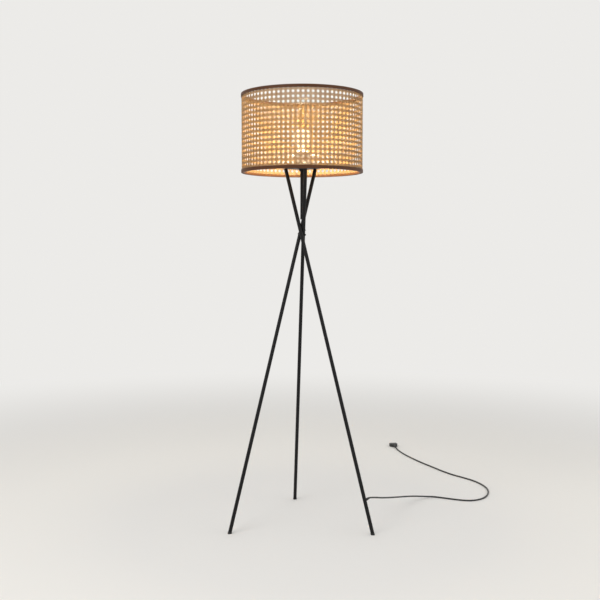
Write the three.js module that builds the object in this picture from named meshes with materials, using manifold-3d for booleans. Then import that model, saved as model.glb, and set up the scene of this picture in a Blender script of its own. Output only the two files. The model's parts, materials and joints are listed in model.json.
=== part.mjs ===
// A floor lamp with a drum shade of open cane webbing on three crossed steel tubes.
// Millimetres, Z up, floor at Z = 0. Every piece is built about the lamp's own upright axis,
// and the whole lamp is then moved so that the middle of its footprint lies at the origin.

import * as THREE from 'three';
import { mergeVertices } from 'three/addons/utils/BufferGeometryUtils.js';
import Module from 'manifold-3d';

const wasm = await Module();
wasm.setup();

// Driving sizes of the whole lamp
const shadeDiameter = 400;
const shadeHeight = 256;
const shadeBottomZ = 1166;
const plateUndersideZ = 1182;
const footCircleRadius = 266.5;
const legTopCircleRadius = 58;

// Where the legs stand, in degrees round the upright axis
const evenFootAngles = { left: 208.5, right: 328.5, back: 88.5 };
const footTurnAngles = { left: 0, right: 0, back: 7 };

// Clearances shared by all pieces
const seatGap = 0.3;
const cutOverrun = 5;

// Leg tubes and what is fixed to them
const legDiameter = 12;
const legWall = 1.2;
const legPassingGap = 0.4;
const footDiameter = 13;
const footHeight = 25;
const footSole = 6;
const nippleLengthInLeg = 20;
const nippleWall = 1.3;
const nippleStickOut = 1.6;
const wedgeDiameter = 15.4;
const wedgeThinEdge = 1.5;
const legNutAcross = 13;
const legNutHeight = 5;

// Screws and bolts where the tubes cross
const boltDiameter = 3;
const boltHeadDiameter = 5.6;
const boltHeadHeight = 1.6;
const boltNutAcross = 5.5;
const boltNutHeight = 2.2;
const boltTip = 0.8;
const screwTip = 1.5;

// Top plate, its collar and the centre rod
const plateMargin = 9;
const plateThickness = 3;
const plateChamfer = 0.6;
const rodDiameter = 12;
const rodWall = 1;
const rodPlugLength = 30;
const rodScrewRise = 8;
const rodScrewBite = 6.5;
const collarTopDiameter = 33;
const collarFootDiameter = 18;
const collarHeight = 10.5;
const collarRim = 1.5;
const studLengthInRod = 22;
const studNutAcross = 13;
const studNutHeight = 4.5;

// Lampholder
const holderBaseDiameter = 46;
const holderBaseHeight = 18;
const holderWall = 2.2;
const holderShoulderHeight = 17;
const holderThreadDiameter = 39.6;
const holderBodyHeight = 34;
const holderEdge = 1;
const coreDiscThickness = 4;
const coreDiscDrop = 0.6;
const shellWall = 0.5;
const shellFlangeDiameter = 33;
const shellHeight = 29;
const contactDiameter = 8;
const contactHeight = 3.4;
const terminalWidth = 5;
const terminalHeight = 5;
const terminalCircleRadius = 9;
const terminalSpread = 35;
const shadeNutDiameter = 52;
const shadeNutHeight = 8;
const shadeNutRibs = 20;
const shadeNutRibDepth = 0.8;

// Rotary switch in the side of the lampholder
const switchAngle = 341;
const switchRise = 8;
const switchBlockWidth = 11;
const switchBlockHeight = 9;
const switchBlockDepth = 8;
const spindleDiameter = 4;
const spindleReach = 10;
const knobDiameter = 11;
const knobLength = 10;
const knobRibs = 12;
const knobRibDepth = 0.5;
const knobCrown = 1.2;

// Bulb
const bulbDiameter = 60;
const bulbLength = 105;
const bulbGlass = 1.1;
const bulbNeckDiameter = 24;
const bulbCapDiameter = 25.8;
const bulbCapHeight = 21;
const bulbCapWall = 0.5;
const bulbCapGrip = 4;
const bulbButtonDiameter = 9;
const bulbButtonHeight = 1.7;
const bulbGlazeHeight = 4;
const bulbStemDiameter = 9;
const bulbStemHeight = 34;

// Shade: cane, hoops, trims and the fitter that carries it
const trimHeight = 10;
const trimFoldHeight = 7;
const trimThickness = 1;
const foldGap = 0.8;
const caneThickness = 2.4;
const caneColumns = 18;
const caneRows = 4;
const caneGapShare = 0.66;
const caneCornerShare = 0.5;
const hoopWire = 3.6;
const fitterAngles = { back: 90, left: 210, right: 330 };
const fitterBendRadius = 24;
const fitterRingDiameter = 57;
const fitterRingThickness = 1.6;
const seamAngle = 90;
const seamWidth = 12;
const seamThickness = 0.8;

// Lead inside the lamp
const cordDiameter = 5.5;
const coreDiameter = 2.4;
const coreSpacing = 2.9;
const leadHoleDiameter = 8;
const leadArch = 8;

// Free lead on the floor, with its strain relief and plug
const exitHeight = 108;
const reliefLength = 24;
const reliefRootDiameter = 9.5;
const reliefTipDiameter = 7.2;
const reliefNeckDiameter = 7.6;
const reliefFlange = 2;
const leadOut = 6;
const cordLift = 0.25;
const plugLength = 34;
const plugWidth = 35;
const plugThickness = 13.6;
const plugCornerRadius = 5;
const plugShoulderShare = 0.35;
const plugTailLength = 24;
const plugTailRootDiameter = 12;
const plugTailTipDiameter = 8;
const pinDiameter = 4;
const pinLength = 19;
const pinSpacing = 19;
const pinSocketDepth = 6;

// The route that the free lead takes over the floor, as laid out by hand, from the lamp's axis
const routeDrop = [
  [243, -45, 95],
  [270, 8, 79],
  [300, 66, 63],
  [333, 124, 48],
  [368, 180, 34],
  [405, 230, 21],
  [445, 268, 9.5],
  [467, 279, 5.6],
  [487, 286, 3.6],
];
const routeFloor = [
  [510, 276],
  [530, 266],
  [550, 256],
  [572, 246],
  [590, 239],
  [610, 236],
  [630, 241],
  [650, 253],
  [667, 270],
  [682, 295],
  [695, 328],
  [703, 362],
  [706, 398],
  [702, 434],
  [692, 472],
  [672, 518],
  [641, 562],
  [607, 607],
  [577, 662],
  [546, 730],
  [512, 803],
  [480, 885],
  [453, 965],
  [438, 1030],
  [434, 1052],
];
const routeEnd = [430, 1082];

// Facets
const legSides = 16;
const roundSides = 20;
const smallSides = 12;
const holderSides = 24;
const shadeSides = 48;
const wireSides = 6;
const nutSides = 6;
const cornerSteps = 3;
const armSteps = 20;
const coreSteps = 20;
const cordSides = 8;
const cordSteps = 80;

const radians = Math.PI / 180;
const up = new THREE.Vector3(0, 0, 1);
const legRadius = legDiameter / 2;
const legBore = legRadius - legWall;
const shadeRadius = shadeDiameter / 2;
const shadeTopZ = shadeBottomZ + shadeHeight;
const plateTopZ = plateUndersideZ + plateThickness;

// Materials

function finish(color, roughness, metalness = 0) {
  return new THREE.MeshStandardMaterial({ color, roughness, metalness });
}

const blackPaint = finish(0x17171a, 0.5, 0.2);
const blackRubber = finish(0x151515, 0.85);
const blackPlastic = finish(0x1b1b1b, 0.6);
const zincSteel = finish(0xb9bcc0, 0.35, 1);
const brass = finish(0xc8a24a, 0.35, 1);
const nickel = finish(0xc9c6bd, 0.3, 1);
const whitePlastic = finish(0xe9e6dd, 0.45);
const porcelain = finish(0xefece4, 0.3);
const frostedGlass = finish(0xfff3d6, 0.55);
const clearGlass = finish(0xe8f0f0, 0.1);
const cane = finish(0xc99a5c, 0.7);
const brownTrim = finish(0x5a331a, 0.7);
const copperCore = finish(0x6a4a32, 0.6);

// Shapes

function outwardAt(degrees) {
  return new THREE.Vector3(Math.cos(degrees * radians), Math.sin(degrees * radians), 0);
}

function polar(radius, degrees, z = 0) {
  return new THREE.Vector3(radius * Math.cos(degrees * radians), radius * Math.sin(degrees * radians), z);
}

// Turns an outline of [radius, height] points about the Z axis.
function turned(outline, sides) {
  const points = outline.map(([radius, height]) => new THREE.Vector2(radius, height));
  return new THREE.LatheGeometry(points, sides).rotateX(Math.PI / 2);
}

// The outline of a plain tube or ring, closed on itself.
function ringOutline(inner, outer, low, high) {
  return [[inner, low], [outer, low], [outer, high], [inner, high], [inner, low]];
}

// The outline of a plain rod, from axis to axis.
function rodOutline(radius, low, high) {
  return [[0, low], [radius, low], [radius, high], [0, high]];
}

function regularShape(across, sides, holeRadius) {
  const shape = new THREE.Shape();
  const corner = across / 2 / Math.cos(Math.PI / sides);
  for (let k = 0; k < sides; k += 1) {
    const turn = (2 * Math.PI * k) / sides;
    shape[k ? 'lineTo' : 'moveTo'](corner * Math.cos(turn), corner * Math.sin(turn));
  }
  shape.closePath();
  shape.holes.push(new THREE.Path().absarc(0, 0, holeRadius, 0, 2 * Math.PI, true));
  return shape;
}

// A round outline whose edge rises and falls once for each rib.
function ribbedShape(radius, ribs, depth, holeRadius) {
  const stepsPerRib = 4;
  const shape = new THREE.Shape();
  for (let k = 0; k < ribs * stepsPerRib; k += 1) {
    const turn = (2 * Math.PI * k) / (ribs * stepsPerRib);
    const r = radius - depth * (k % stepsPerRib < stepsPerRib / 2 ? 0 : 1);
    shape[k ? 'lineTo' : 'moveTo'](r * Math.cos(turn), r * Math.sin(turn));
  }
  shape.closePath();
  shape.holes.push(new THREE.Path().absarc(0, 0, holeRadius, 0, 2 * Math.PI, true));
  return shape;
}

function raised(shape, depth) {
  return new THREE.ExtrudeGeometry(shape, { depth, bevelEnabled: false, curveSegments: smallSides });
}

function roundSection(radius, sides) {
  const shape = new THREE.Shape();
  for (let k = 0; k < sides; k += 1) {
    const turn = (2 * Math.PI * k) / sides;
    shape[k ? 'lineTo' : 'moveTo'](radius * Math.cos(turn), radius * Math.sin(turn));
  }
  shape.closePath();
  return shape;
}

// A round bar along a curve.
function swept(curve, radius, sides, steps) {
  return new THREE.ExtrudeGeometry(roundSection(radius, sides), {
    steps,
    extrudePath: curve,
    bevelEnabled: false,
  });
}

function block(width, depth, low, high) {
  return new THREE.BoxGeometry(width, depth, high - low).translate(0, 0, (low + high) / 2);
}

// Frames: +Z of a frame lies along the given direction

function frameAt(origin, direction) {
  const turn = new THREE.Quaternion().setFromUnitVectors(up, direction.clone().normalize());
  return new THREE.Matrix4().compose(origin, turn, new THREE.Vector3(1, 1, 1));
}

const upright = new THREE.Matrix4();

function mesh(name, geometry, material, frame = upright) {
  const piece = new THREE.Mesh(geometry, material);
  piece.name = name;
  piece.applyMatrix4(frame);
  return piece;
}

// Joins and cuts

function toSolid(geometry) {
  const bare = geometry.clone();
  bare.deleteAttribute('normal');
  bare.deleteAttribute('uv');
  const merged = mergeVertices(bare);
  return new wasm.Manifold(new wasm.Mesh({
    numProp: 3,
    vertProperties: merged.attributes.position.array,
    triVerts: new Uint32Array(merged.index.array),
  }));
}

function toGeometry(solid) {
  const { vertProperties, triVerts } = solid.getMesh();
  const geometry = new THREE.BufferGeometry();
  geometry.setAttribute('position', new THREE.BufferAttribute(new Float32Array(vertProperties), 3));
  geometry.setIndex(new THREE.BufferAttribute(new Uint32Array(triVerts), 1));
  geometry.computeVertexNormals();
  return geometry;
}

// Cuts tools, each a [geometry, frame] pair, out of a piece that stands in a frame of its own.
function cut(geometry, frame, tools) {
  const inverse = frame.clone().invert();
  let solid = toSolid(geometry);
  for (const [tool, toolFrame] of tools) {
    const placed = tool.clone().applyMatrix4(inverse.clone().multiply(toolFrame));
    solid = solid.subtract(toSolid(placed));
  }
  return toGeometry(solid);
}

function joined(geometries) {
  return toGeometry(geometries.map(toSolid).reduce((whole, next) => whole.add(next)));
}

// Everything above or below a height, as a cutting tool.
const spaceSize = 4 * (shadeTopZ + footCircleRadius);

function spaceAbove(z) {
  return [block(spaceSize, spaceSize, z, z + spaceSize), upright];
}

function spaceBelow(z) {
  return [block(spaceSize, spaceSize, z - spaceSize, z), upright];
}

function drill(radius, low, high, frame, sides = smallSides) {
  return [turned(rodOutline(radius, low, high), sides), frame];
}

// The three leg axes

function legAxes(twist) {
  const axes = {};
  for (const side of Object.keys(evenFootAngles)) {
    const foot = polar(footCircleRadius, evenFootAngles[side] + footTurnAngles[side]);
    const top = polar(legTopCircleRadius, evenFootAngles[side] - 180 + twist, plateUndersideZ);
    const direction = top.clone().sub(foot).normalize();
    axes[side] = { foot, direction, frame: frameAt(foot, direction) };
  }
  return axes;
}

// Where two axes pass closest: a point on each, and the direction from the first to the second.
function crossing(a, b) {
  const between = a.foot.clone().sub(b.foot);
  const lean = a.direction.dot(b.direction);
  const alongA = a.direction.dot(between);
  const alongB = b.direction.dot(between);
  const spread = 1 - lean * lean;
  const onA = a.foot.clone().addScaledVector(a.direction, (lean * alongB - alongA) / spread);
  const onB = b.foot.clone().addScaledVector(b.direction, (alongB - lean * alongA) / spread);
  return { onA, distance: onA.distanceTo(onB), direction: onB.clone().sub(onA).normalize() };
}

const neighbours = [['left', 'back'], ['back', 'right'], ['right', 'left']];

function closestPass(axes) {
  return Math.min(...neighbours.map(([a, b]) => crossing(axes[a], axes[b]).distance));
}

// The tops turn on from straight across until the nearest two tubes just clear each other.
function twistForPassingLegs() {
  const mostTwist = 60;
  const halvings = 40;
  let low = Math.max(...Object.values(footTurnAngles));
  let high = mostTwist;
  for (let k = 0; k < halvings; k += 1) {
    const middle = (low + high) / 2;
    if (closestPass(legAxes(middle)) < legDiameter + legPassingGap) low = middle;
    else high = middle;
  }
  return high;
}

const axes = legAxes(twistForPassingLegs());
const legNames = Object.keys(axes);

function pointOnLeg(side, z) {
  const { foot, direction } = axes[side];
  return foot.clone().addScaledVector(direction, z / direction.z);
}

function alongLeg(side, z) {
  return z / axes[side].direction.z;
}

// Bolts and screws

function screwOutline(shank) {
  const crownShare = 0.55;
  return [
    [0, -boltHeadHeight],
    [(boltHeadDiameter / 2) * crownShare, -boltHeadHeight],
    [boltHeadDiameter / 2, -boltHeadHeight / 2],
    [boltHeadDiameter / 2, 0],
    [boltDiameter / 2, 0],
    [boltDiameter / 2, shank],
    [0, shank],
  ];
}

const boltHole = boltDiameter / 2 + seatGap;
const headSeat = legRadius + seatGap;

// A fixing square to two legs where they cross, with its head outside the first.
function crossFixing(a, b) {
  const { onA, distance, direction } = crossing(axes[a], axes[b]);
  return { distance, frame: frameAt(onA.clone().addScaledVector(direction, -headSeat), direction) };
}

// The bolt goes right through both legs and takes a nut.
function waistBoltPlace() {
  const { distance, frame } = crossFixing('left', 'back');
  const nutSeat = headSeat + distance + headSeat;
  return { frame, nutSeat, length: nutSeat + boltNutHeight + boltTip };
}

// The screw bites only into the near wall of the right leg, because the lead runs up inside it.
function waistScrewPlace() {
  const { distance, frame } = crossFixing('back', 'right');
  return { frame, length: headSeat + distance - legBore + screwTip };
}

const waistBolt = waistBoltPlace();
const waistScrew = waistScrewPlace();

function fixingTool({ frame, length }) {
  return drill(boltHole, -cutOverrun, length + boltTip, frame);
}

// The rod ends where it meets the back leg's tube, and one screw through that leg holds it.
function rodEndHeight() {
  const halvings = 40;
  const wanted = rodDiameter / 2 + (legRadius + seatGap) / axes.back.direction.z;
  let low = plateUndersideZ * (1 - legTopCircleRadius / (legTopCircleRadius + footCircleRadius));
  let high = plateUndersideZ;
  for (let k = 0; k < halvings; k += 1) {
    const middle = (low + high) / 2;
    const { x, y } = pointOnLeg('back', middle);
    if (Math.hypot(x, y) < wanted) low = middle;
    else high = middle;
  }
  return high;
}

const rodEndZ = rodEndHeight();

function rodScrewPlace() {
  const onLeg = pointOnLeg('back', rodEndZ + rodScrewRise);
  const inward = new THREE.Vector3(-onLeg.x, -onLeg.y, 0);
  const { direction } = axes.back;
  const square = inward.addScaledVector(direction, -inward.dot(direction)).normalize();
  const reach = Math.hypot(onLeg.x, onLeg.y) / Math.hypot(square.x, square.y);
  const frame = frameAt(onLeg.clone().addScaledVector(square, -headSeat), square);
  return { frame, length: headSeat + reach - rodDiameter / 2 + rodScrewBite };
}

const rodScrew = rodScrewPlace();

// The lead leaves the right leg square to it and level, on the side away from the lamp's front.
function exitPlace() {
  const onLeg = pointOnLeg('right', exitHeight);
  const level = new THREE.Vector3().crossVectors(axes.right.direction, up).normalize();
  return { onLeg, direction: level, frame: frameAt(onLeg, level) };
}

const exit = exitPlace();

// Legs, feet and the fixings at their tops

const leadHole = drill(reliefNeckDiameter / 2 + seatGap, 0, legRadius + cutOverrun, exit.frame);
const legTools = {
  left: [fixingTool(waistBolt)],
  right: [fixingTool(waistScrew), leadHole],
  back: [fixingTool(waistBolt), fixingTool(waistScrew), fixingTool(rodScrew)],
};

function legTube(side) {
  const { frame } = axes[side];
  const top = alongLeg(side, plateUndersideZ) + legDiameter;
  const tube = turned(ringOutline(legBore, legRadius, footSole + seatGap, top), legSides);
  const tools = [spaceAbove(plateUndersideZ - seatGap), ...legTools[side]];
  return mesh(`leg_${side}`, cut(tube, frame, tools), blackPaint, frame);
}

// A rubber plug in the tube's end, with a sole that is cut level with the floor.
function footPlug(side) {
  const { frame } = axes[side];
  const stem = legBore - seatGap;
  const stemTipShare = 0.9;
  const plug = turned([
    [0, -footDiameter],
    [footDiameter / 2, -footDiameter],
    [footDiameter / 2, footSole],
    [stem, footSole],
    [stem, footHeight - footSole / 2],
    [stem * stemTipShare, footHeight],
    [0, footHeight],
  ], legSides);
  return mesh(`foot_${side}`, cut(plug, frame, [spaceBelow(0)]), blackRubber, frame);
}

const nippleRadius = legBore - seatGap;
const nippleBore = nippleRadius - nippleWall;
const plateHole = nippleRadius + seatGap;

// Heights along a leg's axis, from its foot point, of the stack above the plate.
function topStack(side) {
  const atPlate = alongLeg(side, plateTopZ);
  const lean = Math.hypot(axes[side].direction.x, axes[side].direction.y) / axes[side].direction.z;
  const wedgeTop = atPlate + (wedgeDiameter / 2) * lean + wedgeThinEdge;
  const nutLow = wedgeTop + seatGap;
  const nutHigh = nutLow + legNutHeight;
  return { atPlate, wedgeTop, nutLow, nutHigh, nippleTop: nutHigh + nippleStickOut };
}

function legNipple(side) {
  const low = alongLeg(side, plateUndersideZ) - nippleLengthInLeg;
  const tube = turned(ringOutline(nippleBore, nippleRadius, low, topStack(side).nippleTop), legSides);
  return mesh(`leg_nipple_${side}`, tube, zincSteel, axes[side].frame);
}

// A tapered washer that turns the plate's level face square to the leaning nipple.
function wedgeWasher(side) {
  const { frame } = axes[side];
  const { atPlate, wedgeTop } = topStack(side);
  const outline = ringOutline(plateHole, wedgeDiameter / 2, atPlate - wedgeDiameter, wedgeTop);
  const blank = turned(outline, legSides);
  const washer = cut(blank, frame, [spaceBelow(plateTopZ + seatGap)]);
  return mesh(`wedge_washer_${side}`, washer, zincSteel, frame);
}

function legNut(side) {
  const { nutLow } = topStack(side);
  const nut = raised(regularShape(legNutAcross, nutSides, plateHole), legNutHeight).translate(0, 0, nutLow);
  return mesh(`leg_nut_${side}`, nut, zincSteel, axes[side].frame);
}

function waistFixings() {
  const nut = raised(regularShape(boltNutAcross, nutSides, boltHole), boltNutHeight);
  return [
    mesh('waist_bolt', turned(screwOutline(waistBolt.length), smallSides), blackPaint, waistBolt.frame),
    mesh('waist_nut', nut.translate(0, 0, waistBolt.nutSeat), blackPaint, waistBolt.frame),
    mesh('waist_screw', turned(screwOutline(waistScrew.length), smallSides), blackPaint, waistScrew.frame),
  ];
}

// Top plate, collar, rod and stud

const studRadius = rodDiameter / 2 - rodWall - seatGap;
const studHole = studRadius + seatGap;
const baseFloorZ = plateTopZ + seatGap;
const studNutZ = baseFloorZ + holderWall + seatGap;
const studTopZ = studNutZ + studNutHeight + nippleStickOut;

function topPlate() {
  const edge = legTopCircleRadius + plateMargin;
  const disc = turned([
    [studHole, plateUndersideZ],
    [edge - plateChamfer, plateUndersideZ],
    [edge, plateUndersideZ + plateChamfer],
    [edge, plateTopZ - plateChamfer],
    [edge - plateChamfer, plateTopZ],
    [studHole, plateTopZ],
    [studHole, plateUndersideZ],
  ], holderSides);
  const holes = legNames.map((side) => {
    const low = alongLeg(side, plateUndersideZ) - wedgeDiameter;
    return drill(plateHole, low, low + 2 * wedgeDiameter, axes[side].frame, legSides);
  });
  return mesh('top_plate', cut(disc, upright, holes), blackPaint);
}

// A trumpet-shaped collar that hides the end of the rod under the plate.
function rodCollar() {
  const top = plateUndersideZ - seatGap;
  const bore = rodDiameter / 2 + seatGap;
  const foot = collarFootDiameter / 2;
  const flare = collarTopDiameter / 2 - foot;
  const flareHeight = collarHeight - 2 * collarRim;
  const arcSteps = 5;
  const outline = [[bore, top - collarHeight], [foot, top - collarHeight]];
  for (let k = 0; k <= arcSteps; k += 1) {
    const turn = (Math.PI / 2) * (k / arcSteps);
    const radius = foot + flare * (1 - Math.cos(turn));
    outline.push([radius, top - collarHeight + collarRim + flareHeight * Math.sin(turn)]);
  }
  outline.push([collarTopDiameter / 2, top], [bore, top], [bore, top - collarHeight]);
  return mesh('rod_collar', turned(outline, roundSides), blackPaint);
}

function centreRod() {
  const radius = rodDiameter / 2;
  const tube = turned(ringOutline(radius - rodWall, radius, rodEndZ, plateUndersideZ - seatGap), legSides);
  const hole = drill(boltHole, 0, rodScrew.length + cutOverrun, rodScrew.frame);
  return mesh('centre_rod', cut(tube, upright, [hole]), blackPaint);
}

function rodPlug() {
  const radius = rodDiameter / 2 - rodWall - seatGap;
  const plug = turned(rodOutline(radius, rodEndZ, rodEndZ + rodPlugLength), smallSides);
  const hole = drill(boltHole, 0, rodScrew.length + seatGap, rodScrew.frame);
  return mesh('rod_plug', cut(plug, upright, [hole]), zincSteel);
}

function rodScrewPiece() {
  return mesh('rod_screw', turned(screwOutline(rodScrew.length), smallSides), blackPaint, rodScrew.frame);
}

function topStud() {
  const low = plateUndersideZ - studLengthInRod;
  return mesh('top_stud', turned(rodOutline(studRadius, low, studTopZ), smallSides), zincSteel);
}

function studNut() {
  const nut = raised(regularShape(studNutAcross, nutSides, studHole), studNutHeight);
  return mesh('stud_nut', nut.translate(0, 0, studNutZ), zincSteel);
}

// Lampholder, from the plate up

const baseRadius = holderBaseDiameter / 2;
const baseBore = baseRadius - holderWall;
const baseRimZ = baseFloorZ + holderBaseHeight;
const coreTopZ = baseRimZ - coreDiscDrop;
const coreLowZ = coreTopZ - coreDiscThickness;
const bodyLowZ = baseRimZ + seatGap;
const shoulderZ = bodyLowZ + holderShoulderHeight;
const bodyTopZ = bodyLowZ + holderBodyHeight;
const threadRadius = holderThreadDiameter / 2;
const switchZ = baseFloorZ + switchRise;
const bulbCapRadius = bulbCapDiameter / 2;
const shellBore = bulbCapRadius + seatGap;
const shellLowZ = coreTopZ + seatGap;
const contactTopZ = shellLowZ + contactHeight;

// A frame on the lamp's axis whose +Z looks out sideways and whose +Y stays upright.
function sideFrame(degrees, z) {
  const outward = outwardAt(degrees);
  const across = new THREE.Vector3().crossVectors(up, outward);
  return new THREE.Matrix4().makeBasis(across, up, outward).setPosition(0, 0, z);
}

function leadEntry() {
  const { x, y } = pointOnLeg('right', plateTopZ);
  return Math.atan2(y, x) / radians;
}

const leadAngle = leadEntry();
const leadZ = baseFloorZ + switchRise;

function holderBase() {
  const cup = turned([
    [studHole, baseFloorZ],
    [baseRadius - holderEdge, baseFloorZ],
    [baseRadius, baseFloorZ + holderEdge],
    [baseRadius, baseRimZ],
    [baseBore, baseRimZ],
    [baseBore, baseFloorZ + holderWall],
    [studHole, baseFloorZ + holderWall],
    [studHole, baseFloorZ],
  ], holderSides);
  const reach = baseRadius + cutOverrun;
  const holes = [
    drill(leadHoleDiameter / 2, baseBore - cutOverrun, reach, sideFrame(leadAngle, leadZ)),
    drill(spindleDiameter / 2 + seatGap, baseBore - cutOverrun, reach, sideFrame(switchAngle, switchZ)),
  ];
  return mesh('holder_base', cut(cup, upright, holes), whitePlastic);
}

function holderBody() {
  const bore = threadRadius - holderWall;
  const outline = [
    [baseBore, bodyLowZ],
    [baseRadius, bodyLowZ],
    [baseRadius, shoulderZ - holderEdge],
    [baseRadius - holderEdge, shoulderZ],
    [threadRadius, shoulderZ],
    [threadRadius, bodyTopZ - holderEdge],
    [threadRadius - holderEdge, bodyTopZ],
    [bore, bodyTopZ],
    [bore, shoulderZ - 2 * holderWall],
    [baseBore, shoulderZ - 3 * holderWall],
    [baseBore, bodyLowZ],
  ];
  return mesh('holder_body', turned(outline, holderSides), whitePlastic);
}

function holderCore() {
  const disc = turned(rodOutline(baseBore - seatGap, coreLowZ, coreTopZ), holderSides);
  return mesh('holder_core', disc, porcelain);
}

function screwShell() {
  const outer = shellBore + shellWall;
  const outline = [
    [shellBore, shellLowZ],
    [shellFlangeDiameter / 2, shellLowZ],
    [shellFlangeDiameter / 2, shellLowZ + shellWall],
    [outer, shellLowZ + shellWall],
    [outer, shellLowZ + shellHeight],
    [shellBore, shellLowZ + shellHeight],
    [shellBore, shellLowZ],
  ];
  return mesh('screw_shell', turned(outline, roundSides), brass);
}

function centreContact() {
  const tipShare = 0.45;
  const outline = [
    [0, shellLowZ],
    [contactDiameter / 2, shellLowZ],
    [contactDiameter / 2, shellLowZ + shellWall],
    [(contactDiameter / 2) * tipShare, contactTopZ],
    [0, contactTopZ],
  ];
  return mesh('centre_contact', turned(outline, smallSides), brass);
}

function terminalPlace(sign) {
  return polar(terminalCircleRadius, leadAngle + sign * terminalSpread);
}

function terminal(name, sign) {
  const high = coreLowZ - seatGap;
  const piece = block(terminalWidth, terminalWidth, high - terminalHeight, high);
  const facingLead = new THREE.Matrix4().makeRotationZ(leadAngle * radians);
  return mesh(name, piece, brass, facingLead.setPosition(terminalPlace(sign)));
}

// Shade ring: the ribbed nut that clamps the shade's fitter on the holder's shoulder.
const fitterZ = shoulderZ + seatGap;
const shadeNutZ = fitterZ + fitterRingThickness + seatGap;

function shadeNut() {
  const shape = ribbedShape(shadeNutDiameter / 2, shadeNutRibs, shadeNutRibDepth, threadRadius + seatGap);
  const nut = new THREE.ExtrudeGeometry(shape, {
    depth: shadeNutHeight,
    bevelEnabled: false,
    curveSegments: holderSides / 2,
  });
  return mesh('shade_nut', nut.translate(0, 0, shadeNutZ), whitePlastic);
}

// Rotary switch

const switchFrame = sideFrame(switchAngle, switchZ);
const baseFlatBore = baseBore * Math.cos(Math.PI / holderSides);
const switchBlockOuter = Math.sqrt(baseFlatBore ** 2 - (switchBlockWidth / 2) ** 2) - 2 * seatGap;
const spindleSeat = switchBlockOuter - switchBlockDepth / 2;

function switchBlock() {
  const inner = switchBlockOuter - switchBlockDepth;
  const body = block(switchBlockWidth, switchBlockHeight, inner, switchBlockOuter);
  const bore = drill(spindleDiameter / 2 + seatGap, spindleSeat, switchBlockOuter + cutOverrun, switchFrame);
  return mesh('switch_block', cut(body, switchFrame, [bore]), blackPlastic, switchFrame);
}

function switchSpindle() {
  const low = spindleSeat + seatGap;
  const spindle = turned(rodOutline(spindleDiameter / 2, low, low + spindleReach), smallSides);
  return mesh('switch_spindle', spindle, nickel, switchFrame);
}

function switchKnob() {
  const low = baseRadius + 2 * seatGap;
  const bore = spindleDiameter / 2 + seatGap;
  const grip = raised(ribbedShape(knobDiameter / 2, knobRibs, knobRibDepth, bore), knobLength - knobCrown);
  const crown = turned([
    [0, knobLength - 2 * knobCrown],
    [knobDiameter / 2 - knobRibDepth, knobLength - 2 * knobCrown],
    [knobDiameter / 2 - knobCrown, knobLength],
    [0, knobLength],
  ], roundSides);
  return mesh('switch_knob', joined([grip, crown]).translate(0, 0, low), blackPlastic, switchFrame);
}

// Bulb

const bulbLowZ = contactTopZ + seatGap;
const glazeLowZ = bulbLowZ + bulbButtonHeight + seatGap;
const bulbCapLowZ = glazeLowZ + bulbGlazeHeight + seatGap;
const bulbCapTopZ = bulbCapLowZ + bulbCapHeight;
const bulbCentreZ = bulbLowZ + bulbLength - bulbDiameter / 2;
const neckLowZ = bulbCapTopZ - bulbCapGrip;
const throatShare = 0.6;
const throat = bulbCapRadius * throatShare;

// Half outline of the glass: a straight neck, a hollow curve and a round top, shrunk by an inset.
function bulbOutline(inset, lowZ) {
  const radius = bulbDiameter / 2 - inset;
  const neck = bulbNeckDiameter / 2 - inset;
  const startShare = -0.3;
  const arcSteps = 8;
  const neckSteps = 4;
  const startTurn = startShare * Math.PI;
  const start = new THREE.Vector2(radius * Math.cos(startTurn), radius * Math.sin(startTurn));
  const join = new THREE.Vector2(start.x, bulbCentreZ + start.y);
  const slope = new THREE.Vector2(-start.y, start.x).normalize();
  const neckEnd = new THREE.Vector2(neck, bulbCapTopZ);
  const cross = join.clone().addScaledVector(slope, -(join.x - neck) / slope.x);
  const bend = new THREE.QuadraticBezierCurve(neckEnd, cross, join);
  const outline = [[0, lowZ], [neck, lowZ]];
  for (let k = 0; k < neckSteps; k += 1) {
    const { x, y } = bend.getPoint(k / neckSteps);
    outline.push([x, y]);
  }
  for (let k = 0; k < arcSteps; k += 1) {
    const turn = Math.PI * (startShare + (0.5 - startShare) * (k / arcSteps));
    outline.push([radius * Math.cos(turn), bulbCentreZ + radius * Math.sin(turn)]);
  }
  outline.push([0, bulbCentreZ + radius]);
  return outline;
}

function bulbGlassPiece() {
  const outside = turned(bulbOutline(0, neckLowZ), roundSides);
  const inside = turned(bulbOutline(bulbGlass, neckLowZ - cutOverrun), roundSides);
  return mesh('bulb_glass', cut(outside, upright, [[inside, upright]]), frostedGlass);
}

function bulbCap() {
  const inner = bulbCapRadius - bulbCapWall;
  const outline = [
    [throat - bulbCapWall, bulbCapLowZ],
    [throat, bulbCapLowZ],
    [bulbCapRadius, bulbCapLowZ + bulbGlazeHeight],
    [bulbCapRadius, bulbCapTopZ],
    [inner, bulbCapTopZ],
    [inner, bulbCapLowZ + bulbGlazeHeight + bulbCapWall],
    [throat - bulbCapWall, bulbCapLowZ + bulbCapWall],
    [throat - bulbCapWall, bulbCapLowZ],
  ];
  return mesh('bulb_cap', turned(outline, roundSides), nickel);
}

function bulbGlaze() {
  const outline = [
    [0, glazeLowZ],
    [bulbButtonDiameter / 2, glazeLowZ],
    [throat, glazeLowZ + bulbGlazeHeight],
    [0, glazeLowZ + bulbGlazeHeight],
  ];
  return mesh('bulb_glaze', turned(outline, roundSides), blackPlastic);
}

function bulbButton() {
  const roundShare = 0.7;
  const outline = [
    [0, bulbLowZ],
    [(bulbButtonDiameter / 2) * roundShare, bulbLowZ],
    [bulbButtonDiameter / 2, bulbLowZ + bulbButtonHeight],
    [0, bulbLowZ + bulbButtonHeight],
  ];
  return mesh('bulb_button', turned(outline, smallSides), zincSteel);
}

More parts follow.
